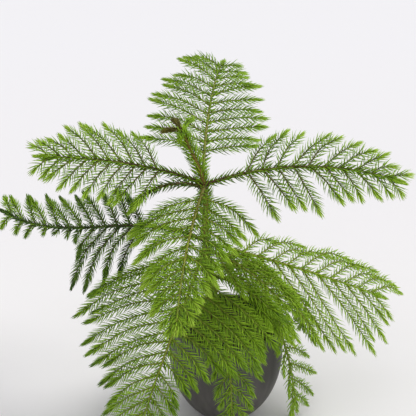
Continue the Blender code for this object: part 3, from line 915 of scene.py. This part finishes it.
def build_soil():
    """The soil's top is lumpy and strewn with crumbs and bits of bark."""
    top = POT_HEIGHT - SOIL_BELOW_RIM
    edge = pot_inner_radius(top) - FIT_GAP
    radii = np.linspace(0.0, 1.0, 34) ** 0.8 * edge
    surface = [(r, top + SOIL_CROWN * (1 - (r / edge) ** 2)) for r in radii]
    under = [(pot_inner_radius(z) - 0.0008, z) for z in np.linspace(top - 0.006, 0.012, 8)]
    points, triangles = turned(surface + under + [(0.0, 0.011)], 120)
    for point in points:
        if point[2] > top - 0.001:
            lump = sum(noise.noise(Vector(point) * scale) * height
                       for scale, height in SOIL_LUMPS)
            fade = min(1.0, (edge - math.hypot(point[0], point[1])) / 0.003)
            point[2] += lump * max(fade, 0.25)
    soil = add_piece("soil_bed", points, triangles, soil_look("soil", (34, 24, 18), (74, 56, 42)))
    crumbs = build_crumbs(top, edge)
    for piece in (soil, crumbs):
        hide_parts("soil")


def build_crumbs(top, edge):
    chance = dice("crumbs")
    golden = (1 + math.sqrt(5)) / 2
    corners = []
    for a in (-1.0, 1.0):
        for b in (-golden, golden):
            corners += [(0, a, b), (a, b, 0), (b, 0, a)]
    corners = unit(np.array(corners))
    faces = []
    for i in range(12):
        for j in range(i + 1, 12):
            for k in range(j + 1, 12):
                gaps = [np.dot(corners[i], corners[j]), np.dot(corners[j], corners[k]),
                        np.dot(corners[i], corners[k])]
                if min(gaps) > 0.4:
                    out = np.dot(np.cross(corners[j] - corners[i], corners[k] - corners[i]),
                                 corners[i])
                    faces.append((i, j, k) if out > 0 else (i, k, j))
    parts = []
    for _ in range(CRUMB_COUNT):
        reach = edge * math.sqrt(chance.uniform(0.0, 0.93))
        angle = chance.uniform(0, math.tau)
        size = chance.uniform(*CRUMB_SIZE)
        shape = corners * chance.uniform(0.75, 1.25, (12, 1)) * size
        shape = shape * chance.uniform(0.6, 1.5, 3)
        angle_about = chance.uniform(0, 6.28)
        spin = np.array(Matrix.Rotation(angle_about, 3, Vector(chance.normal(0, 1, 3))))
        crown = SOIL_CROWN * (1 - (reach / edge) ** 2)
        place = np.array([reach * math.cos(angle), reach * math.sin(angle),
                          top + crown + size * 0.3])
        parts.append((shape @ spin.T + place, np.array(faces)))
    points, triangles = joined(parts)
    return add_piece("soil_crumbs", points, triangles,
                     soil_look("soil_crumbs", (44, 32, 24), (104, 82, 60)))


# The stage: a pale floor, soft light and the camera


def build_floor():
    material, tree, shader = new_material("pale_floor")
    place = tree.nodes.new("ShaderNodeTexCoord")
    parts = add_node(tree, "SeparateXYZ", Vector=place.outputs["Object"])
    fit = add_node(tree, "MapRange", Value=parts.outputs["Y"])
    fit.inputs["From Min"].default_value = -0.5
    fit.inputs["From Max"].default_value = 1.5
    tone = ramp(tree, fit.outputs["Result"],
                ((0.0, srgb(241, 239, 241)), (0.40, srgb(242, 240, 242)),
                 (0.55, srgb(240, 238, 241)), (1.0, srgb(240, 239, 243))))
    tree.links.new(tone, shader.inputs["Base Color"])
    shader.inputs["Roughness"].default_value = 0.9
    shader.inputs["Specular IOR Level"].default_value = 0.1
    size = FLOOR_REACH
    mesh = bpy.data.meshes.new("floor")
    mesh.from_pydata([(-size, -size, 0), (size, -size, 0), (size, size, 0), (-size, size, 0)], [],
                     [(0, 1, 2, 3)])
    mesh.materials.append(material)
    floor = bpy.data.objects.new("floor", mesh)
    bpy.context.scene.collection.objects.link(floor)


def add_sun(name, way, softness, strength, colour):
    """Even, soft-edged light that shines along a direction."""
    light = bpy.data.lights.new(name, "SUN")
    light.angle = math.radians(softness)
    light.energy = strength
    light.color = colour
    lamp = bpy.data.objects.new(name, light)
    lamp.rotation_euler = Vector(way).to_track_quat("-Z", "Y").to_euler()
    bpy.context.scene.collection.objects.link(lamp)


def build_stage():
    build_floor()
    world = bpy.data.worlds.new("studio")
    world.use_nodes = True
    sky = world.node_tree.nodes["Background"]
    sky.inputs["Color"].default_value = (0.98, 0.985, 1.0, 1.0)
    sky.inputs["Strength"].default_value = 0.50
    bpy.context.scene.world = world
    add_sun("window", way=(-0.85, -0.15, -0.85), softness=26.0, strength=1.85,
            colour=(1.0, 0.99, 0.96))
    add_sun("overhead", way=(0.25, 0.35, -1.0), softness=50.0, strength=0.45,
            colour=(1.0, 1.0, 1.0))
    camera = bpy.data.cameras.new("camera")
    camera.sensor_width = 36.0
    camera.lens = CAMERA_LENS
    holder = bpy.data.objects.new("camera", camera)
    holder.location = CAMERA_PLACE
    holder.rotation_euler = (CAMERA_TILT, 0.0, 0.0)
    bpy.context.scene.collection.objects.link(holder)
    bpy.context.scene.camera = holder
    bpy.context.scene.view_settings.view_transform = "Standard"


def build():
    leaf_look = needle_look("needles", GREENS)
    shaded_bud_look = needle_look("needles_bronze", SHADED_BUD_GREENS)
    placed = place_fronds()
    for frond in FRONDS:
        rachis, shoots = placed[frond.name]
        build_frond(frond, rachis, shoots, leaf_look)
    build_trunk(leaf_look)
    for name, heading, pitch, length in BUDS:
        # The two buds on the leader's left side, away from the window light, get the darker needle
        # colours: painted shade.
        dark = name in ("bud_back_left", "bud_left")
        build_bud(name, heading, pitch, length, shaded_bud_look if dark else leaf_look)
    build_pot()
    build_soil()
    build_stage()


build()
